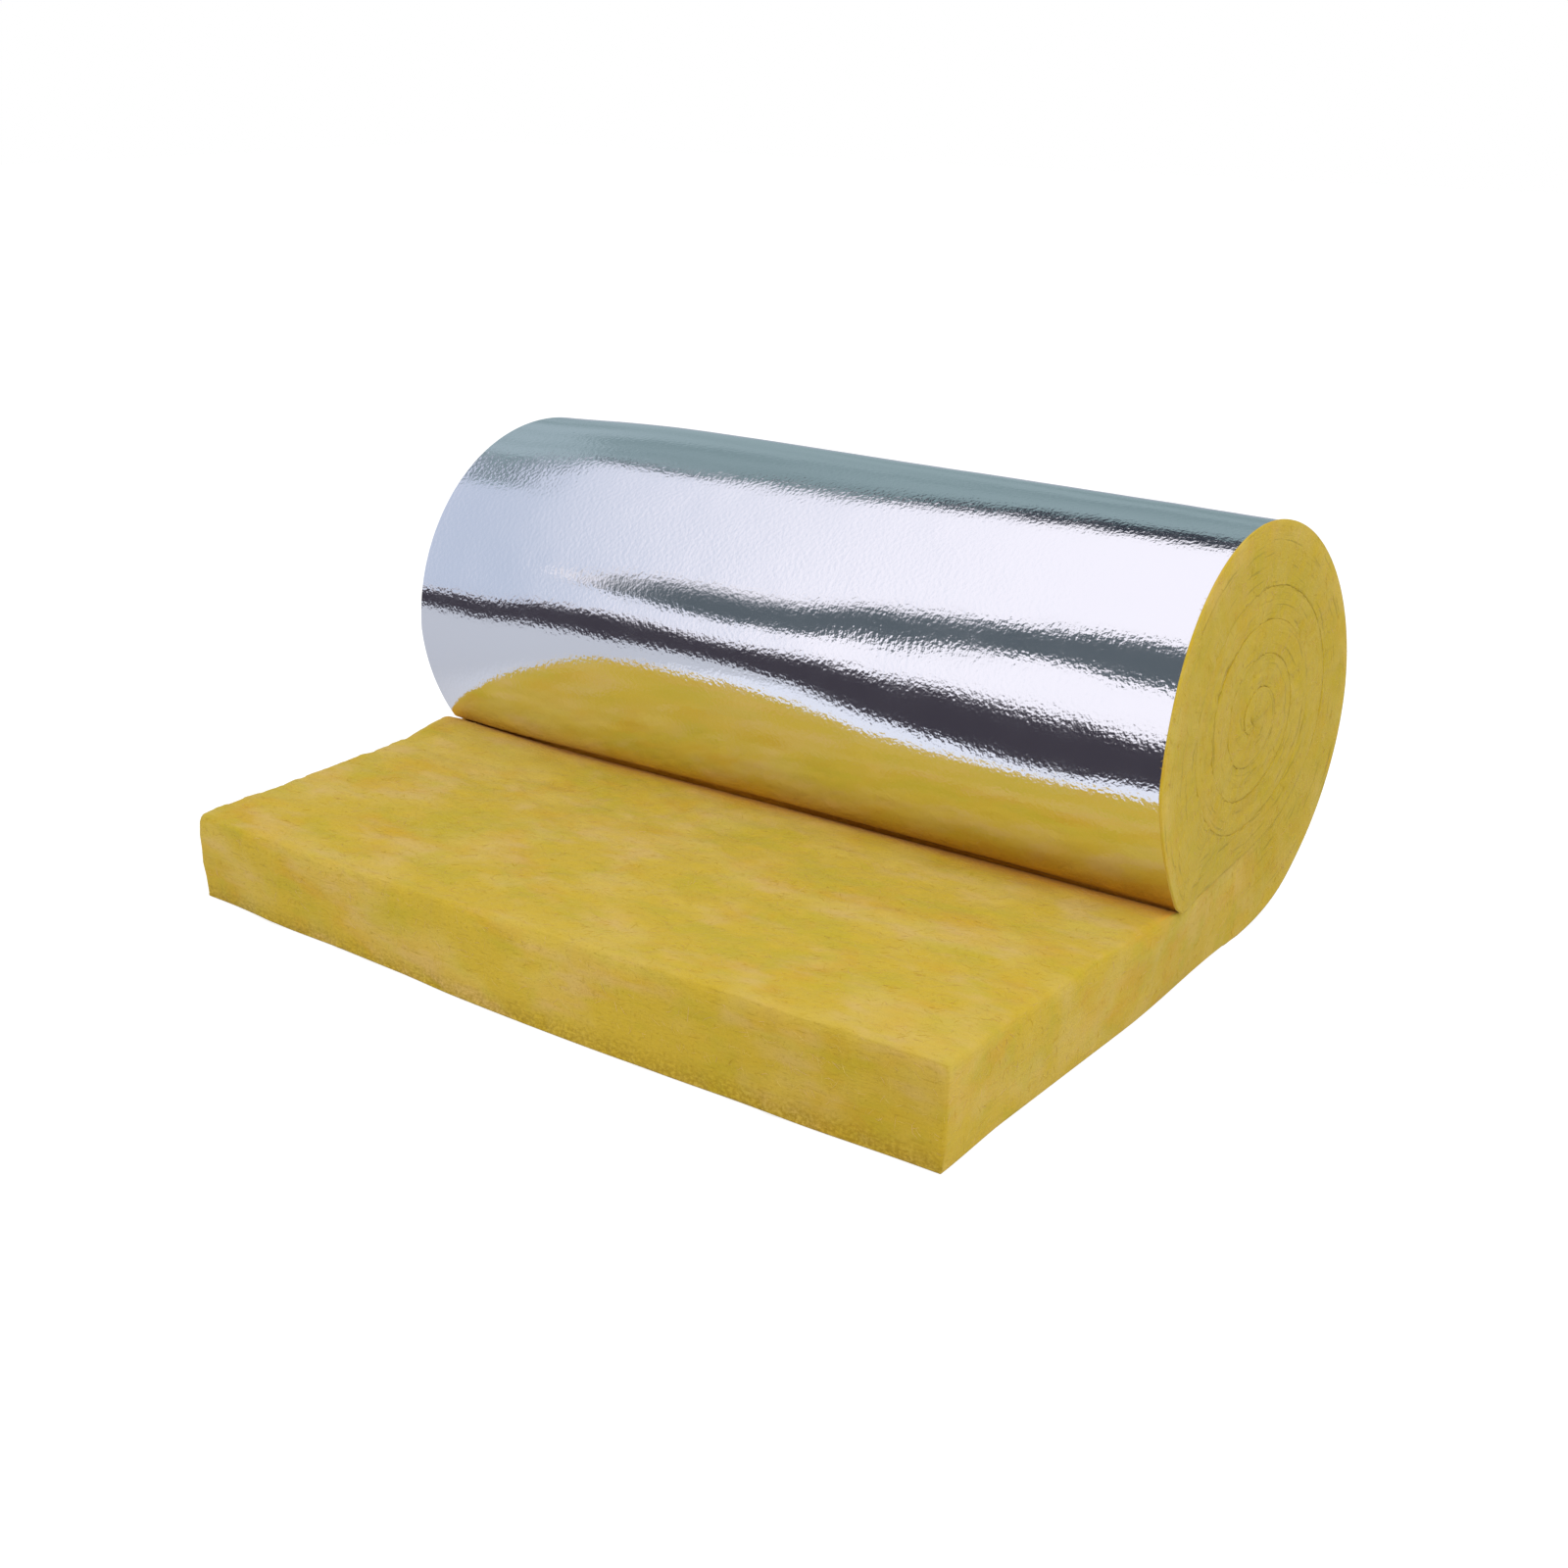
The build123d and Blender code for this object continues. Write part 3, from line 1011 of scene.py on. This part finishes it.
def painted_end_shade(colour, strip, end, share):
    """The colour with painted shade on the roll's ends, less at the outer rim, which is painted as
    lit, and with fold lines.
    """
    along = split_up(strip)[0]
    wound = step(along, FLAT_LENGTH, FLAT_LENGTH + 0.15)
    outermost = step(along, NIP_LENGTH, NIP_LENGTH - 0.1)
    # Painted shade on the wound ends; the rounded rim of the outer turn keeps a painted highlight.
    rim = times(step(share, 0.45, 0.05), outermost)
    strength = maths("SUBTRACT", END_SHADE_SHARE, times(rim, LESS_END_SHADE_AT_RIM))
    colour = mixed(times(end, wound, strength), colour, WOOL_END_SHADE)
    folds = patches(strip, FOLD_LINES, (0.60, 0.72))
    return mixed(times(end, wound, folds, FOLD_SHARE), colour, WOOL_DARK_FOLDS_AND_GROOVE_SHADE)


def cut_painted_shade(colour, strip, cut, share, mottle):
    """The colour with painted shade towards the cut's right end, and darker in patches towards its
    foot.
    """
    # Painted shade on the cut's right part; the foot is darker in mottled patches.
    right = step(split_up(strip)[2], -0.05, 0.55)
    foot = times(step(share, 0.30, 0.02), step(mottle, 0.62, 0.42), DARKER_FOOT)
    cut_darkening = maths("ADD", times(right, CUT_RIGHT_SHADE), foot)
    return mixed(times(cut, cut_darkening), colour, WOOL_SHADE)


def wool_material():
    """Matt yellow glass wool with streaks, pale patches and fine fibres."""
    material, tree, shader = new_material("glass_wool", WOOL_FINISH)
    strip = attribute(tree, "strip")
    end, cut, share = split_up(attribute(tree, "zones"))
    groove_shade, crease_shade, _ = split_up(attribute(tree, "painted_shade"))
    across, around = grain(strip, *ACROSS), grain(strip, *AROUND)
    streaks = add_node(tree, "Mix", {0: end, 2: across, 3: around}).outputs[0]
    mottle = grain(strip, *MOTTLE)

    colour = blanket_colour(strip, end)
    colour = fibrous(colour, streaks, mottle, cut)
    colour = painted_end_shade(colour, strip, end, share)
    colour = cut_painted_shade(colour, strip, cut, share, mottle)
    broken = patches(strip, BROKEN, (0.48, 0.62))
    # Painted shade between the turns, broken into strokes.
    colour = mixed(times(groove_shade, broken, GROOVE_SHADE_SHARE), colour, WOOL_DARK_FOLDS_AND_GROOVE_SHADE)
    # Painted shade in the crease where the roll meets the blanket.
    colour = mixed(times(crease_shade, CREASE_SHADE_SHARE), colour, WOOL_CREASE_SHADE)
    tree.links.new(colour, shader.inputs["Base Color"])

    height = maths("ADD", times(streaks, 0.5), times(mottle, 0.6))
    add_bump(shader, height, 0.7, 0.003)
    return material


def fibre_material():
    """Single fibres, paler or browner than the wool under them."""
    material, tree, shader = new_material("glass_wool_fibres", FIBRE_FINISH)
    tint = split_up(attribute(tree, "tint"))[0]
    colour = mixed(step(tint, 0.20, 0.60), WOOL_YELLOW, WOOL_LIGHT)
    colour = mixed(step(tint, 0.80, 0.82), colour, WOOL_BEIGE)
    tree.links.new(colour, shader.inputs["Base Color"])
    return material


FOIL_COLOUR = (0.90, 0.90, 0.92, 1)
# Painted reflection of the shaded wool near the nip.
FOIL_NIP_REFLECTED_SHADE = (0.66, 0.55, 0.42, 1)
FOIL_PATCHES = ((0.05, 0.05, 0.07), 3)
FOIL_CRINKLE = ((0.006, 0.006, 0.006), 1.5)
FOIL_ROUGHNESS = {1: 0.3, 2: 0.7, 3: 0.08, 4: 0.12}  # from low and high to low and high


def foil_material():
    """Bright aluminium foil, finely crinkled, with a painted brown reflection of the shaded wool
    near the nip.
    """
    material, tree, shader = new_material("foil", [("Metallic", 1.0)])
    strip = attribute(tree, "strip")
    along, _, across = split_up(strip)
    # Painted reflection: the foil is browned near the nip, where it mirrors the shaded wool of the
    # crease.
    near_nip = step(along, NIP_LENGTH - 0.11, NIP_LENGTH - 0.02)
    nip_reflected_shade = times(near_nip, step(across, -0.9, 0.5))
    tree.links.new(mixed(nip_reflected_shade, FOIL_COLOUR, FOIL_NIP_REFLECTED_SHADE), shader.inputs["Base Color"])
    inputs = {0: grain(strip, *FOIL_PATCHES), **FOIL_ROUGHNESS}
    worn = add_node(tree, "MapRange", inputs)
    tree.links.new(worn.outputs[0], shader.inputs["Roughness"])
    add_bump(shader, grain(strip, *FOIL_CRINKLE), 1.0, 0.0003)
    return material


# Stage: floor, reflected cards, lamps, world, camera.

FLOOR_SIZE = 30.0
FLOOR_DROP = 0.0002
FLOOR_FINISH = [("Roughness", 1.0), ("Specular IOR Level", 0.0)]
FLOOR_COLOUR = (0.85, 0.85, 0.85, 1)
FLOOR_SEEN = (0.40, 0.40, 0.40, 1)
FLOOR_GLOW = (0.80, 0.80, 0.80, 1)
FLOOR_MIRRORED = (0.42, 0.46, 0.58, 1)
FLOOR_MIRRORED_LEFT = (0.16, 0.19, 0.27, 1)


def ray_kinds(tree):
    """Whether a ray comes from the camera, and whether it is one that mirrors send."""
    rays = add_node(tree, "LightPath").outputs
    mirrored = maths("MAXIMUM", rays["Is Glossy Ray"], rays["Is Transmission Ray"])
    return rays["Is Camera Ray"], mirrored


def build_floor():
    """A large white floor that keeps the object's soft shadow."""
    half = FLOOR_SIZE / 2
    corners = np.array([(-half, -half, 0), (half, -half, 0), (half, half, 0), (-half, half, 0)])
    floor = mesh_object("floor", corners - [0, 0, FLOOR_DROP], [[0, 1, 2, 3]], False)
    material, tree, shader = new_material("floor", FLOOR_FINISH)
    in_camera, mirrored = ray_kinds(tree)
    shown = maths("MAXIMUM", in_camera, mirrored)
    colour = mixed(shown, FLOOR_COLOUR, FLOOR_SEEN)
    tree.links.new(colour, shader.inputs["Base Color"])
    place = add_node(tree, "TexCoord").outputs["Object"]
    left = step(split_up(place)[0], -0.6, -0.9)
    in_metal = mixed(left, FLOOR_MIRRORED, FLOOR_MIRRORED_LEFT)
    glow_colour = mixed(mirrored, FLOOR_GLOW, in_metal)
    glow = add_node(tree, "Emission", {"Color": glow_colour, "Strength": shown})
    both = add_node(tree, "AddShader", {0: shader.outputs[0], 1: glow.outputs[0]})
    tree.links.new(both.outputs[0], tree.nodes["Material Output"].inputs[0])
    floor.data.materials.append(material)


# The foil's dark and green bands are the reflections of three cards in front of the object:
# two upright ones beside the camera's line of sight and one low on the floor. Only
# reflections see them.
CARD_ORIGIN = np.array([-0.860, -1.289, 0.002])
CARD_ALONG = np.array([0.819, -0.574, 0])
CARD_DEEP = (0.050, 0.045, 0.060, 1)
CARD_GREEN = (0.100, 0.124, 0.145, 1)
# Each card's outline as rows of distance along it, lower edge and upper edge.
LOW_CARD = [
    (-1.20, 0.21, 0.35), (-0.67, 0.20, 0.42), (-0.52, 0.22, 0.53), (-0.29, 0.145, 0.60),
    (-0.04, 0.13, 0.50), (0.22, 0.04, 0.58), (0.42, 0.0, 0.70), (0.63, 0.0, 0.70),
    (0.85, 0.0, 0.66), (1.30, 0.0, 0.62),
]
HIGH_CARD = [
    (-0.62, 0.95, 0.98), (-0.47, 0.935, 1.36), (-0.36, 0.92, 1.55), (-0.10, 0.86, 1.69),
    (0.10, 0.96, 1.97), (0.23, 1.04, 2.08), (0.31, 1.28, 2.28), (0.39, 1.365, 2.62),
    (0.57, 1.42, 2.75), (0.75, 1.42, 2.80), (1.30, 1.42, 2.80),
]
FLOOR_CARD = [(0.40, 0.0, 0.02), (0.55, 0.0, 0.60), (0.75, 0.0, 0.50), (1.30, 0.0, 0.45)]
UPWARD = np.array([0, 0, 1])
TOWARDS_ROLL = np.array([0.574, 0.819, 0])
CARD_COLUMNS = 60
WHITE = (1.02, 1.00, 1.09, 1)


def build_card(name, outline, colour, fade, rise=UPWARD, soft_tip=0.0):
    """A flat card that only reflections see, paler towards its upper edge.

    The fade is given as the shares of the height where it starts, left and right.
    """
    rows = np.array(outline)
    along = np.linspace(rows[0, 0], rows[-1, 0], CARD_COLUMNS)
    low, high = (np.interp(along, rows[:, 0], rows[:, k]) for k in (1, 2))
    heights = np.column_stack([low, (low + high) / 2, high])
    share = np.ones((len(along), 1)) * [0, 0.5, 1]
    points, faces = grid(along[:, None] * np.ones(3), heights, share, *share.shape)
    places = CARD_ORIGIN + points[:, :1] * CARD_ALONG + points[:, 1:2] * rise
    card = mesh_object(name, places, faces.tolist(), False)
    add_attribute(card.data, "card", points)
    material, tree, _ = new_material(name)
    across, _, up = split_up(attribute(tree, "card"))
    right = step(across, -0.15, 0.30)
    start = maths("ADD", fade[0], times(right, fade[1] - fade[0]))
    upper = step(up, start, 1.05)
    tip = times(step(across, -0.30, -0.65), soft_tip)
    shade = mixed(maths("MAXIMUM", upper, tip), colour, WHITE)
    glow = add_node(tree, "Emission", {"Color": shade, "Strength": 1.0})
    tree.links.new(glow.outputs[0], tree.nodes["Material Output"].inputs[0])
    card.data.materials.append(material)
    for rays in ("camera", "diffuse", "shadow", "transmission"):
        setattr(card, "visible_" + rays, False)


WHITE_LEFT = (0.52, 0.59, 0.74, 1)
TEAL = (0.29, 0.39, 0.42, 1)
TEAL_LOW = (0.17, 0.25, 0.27, 1)
TEAL_PALE = (0.36, 0.46, 0.51, 1)
DARK_LINE = (0.03, 0.035, 0.05, 1)
# The dim band: directions where it starts, its upper border and the dark line under that.
BAND_BACK = (-0.10, 0.02)
BORDER, BORDER_RISE, BORDER_RISE_X, BORDER_BLUR = 0.69, 0.06, (-0.66, -0.60), 0.012
LINE_DEPTH, LINE_DEEPER, LINE_DEEPER_X, LINE_BLUR = 0.03, 0.09, (-0.58, -0.42), 0.02
TEAL_STREAKS = ((0.45, 0.18, 0.10), 2)
ROOM_LIGHT = 0.72


def from_zero(value, blur):
    """0 where the value is below zero, and 1 where it is more than blur."""
    return add_node(value.id_data, "MapRange", {0: value, 1: 0.0, 2: blur}).outputs[0]


def build_world():
    """White for the camera, a pale room with a dim back for metal, plain soft light."""
    world = bpy.data.worlds.new("studio")
    bpy.context.scene.world = world
    world.use_nodes = True
    tree = world.node_tree
    direction = add_node(tree, "TexCoord").outputs["Generated"]
    x, y, z = split_up(direction)
    room = mixed(step(x, -0.42, -0.80), WHITE, WHITE_LEFT)
    back = step(y, *BAND_BACK)
    border = maths("ADD", BORDER, times(step(x, *BORDER_RISE_X), BORDER_RISE))
    below = from_zero(maths("SUBTRACT", border, z), BORDER_BLUR)
    teal = mixed(step(y, 0.0, 0.8), TEAL_LOW, TEAL)
    teal = mixed(step(x, -0.56, -0.72), teal, TEAL_PALE)
    streaks = patches(direction, TEAL_STREAKS, (0.44, 0.60))
    teal = mixed(times(streaks, 0.6), teal, TEAL_LOW)
    room = mixed(times(back, below), room, teal)
    deeper = times(step(x, *LINE_DEEPER_X), LINE_DEEPER)
    lower = maths("SUBTRACT", border, maths("ADD", LINE_DEPTH, deeper))
    above = from_zero(maths("SUBTRACT", z, lower), LINE_BLUR)
    room = mixed(times(above, below, back), room, DARK_LINE)
    in_camera, mirrored = ray_kinds(tree)
    plain = mixed(in_camera, (ROOM_LIGHT, ROOM_LIGHT, ROOM_LIGHT, 1), (1, 1, 1, 1))
    colour = mixed(mirrored, plain, room)
    background = tree.nodes["Background"]
    tree.links.new(colour, background.inputs["Color"])
    background.inputs["Strength"].default_value = 1.0


LAMPS = {
    "key": ((2.0, -0.9, 3.2), 2.6, 46),
    "fill": ((-2.2, -2.2, 2.2), 2.5, 16),
}


def build_lamps():
    """A soft key lamp from the right and a weaker one from the left."""
    for name, (place, size, power) in LAMPS.items():
        data = bpy.data.lights.new(name, "AREA")
        data.size = size
        data.energy = power
        lamp = bpy.data.objects.new(name, data)
        lamp.location = place
        lamp.rotation_euler = (-Vector(place)).to_track_quat("-Z", "Y").to_euler()
        lamp.visible_camera = False
        lamp.visible_glossy = False
        bpy.context.scene.collection.objects.link(lamp)


CAMERA_PLACE = (1.6151, -2.1960, 1.1312)
CAMERA_YAW = radians(-35.985)
CAMERA_PITCH = radians(19.622)
CAMERA_ROLL = radians(0.503)
CAMERA_LENS = 48.35
CAMERA_SENSOR = 36


def build_camera():
    """The camera at the photograph's viewing angle."""
    forward = Vector((
        sin(CAMERA_YAW) * cos(CAMERA_PITCH),
        cos(CAMERA_YAW) * cos(CAMERA_PITCH),
        -sin(CAMERA_PITCH),
    ))
    level = Vector((cos(CAMERA_YAW), -sin(CAMERA_YAW), 0))
    upright = level.cross(forward)
    right = cos(CAMERA_ROLL) * level + sin(CAMERA_ROLL) * upright
    up = cos(CAMERA_ROLL) * upright - sin(CAMERA_ROLL) * level
    data = bpy.data.cameras.new("camera")
    data.sensor_width = CAMERA_SENSOR
    data.lens = CAMERA_LENS
    camera = bpy.data.objects.new("camera", data)
    turn = Matrix((right, up, -forward)).transposed().to_4x4()
    camera.matrix_world = Matrix.Translation(CAMERA_PLACE) @ turn
    bpy.context.scene.collection.objects.link(camera)
    bpy.context.scene.camera = camera


# Putting it together.

build_camera()
wool, fibres = build_wool()
wool.data.materials.append(wool_material())
fibres.data.materials.append(fibre_material())
for piece in (wool, fibres):
    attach(piece, "root")
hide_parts("glass_wool_blanket")

foil = foil_material()
sheet = build_foil_sheet()
inner = build_inner_foil()
for piece in (sheet, inner):
    piece.data.materials.append(foil)
    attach(piece, "root")
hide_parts("foil_facing_flat", "foil_facing_wound")

build_floor()
build_card("low_card", LOW_CARD, CARD_DEEP, (0.80, 0.90))
build_card("high_card", HIGH_CARD, CARD_GREEN, (0.45, 0.85), soft_tip=1.0)
build_card("floor_card", FLOOR_CARD, CARD_DEEP, (0.80, 0.90), TOWARDS_ROLL)
build_world()
build_lamps()
bpy.context.scene.view_settings.view_transform = "Standard"
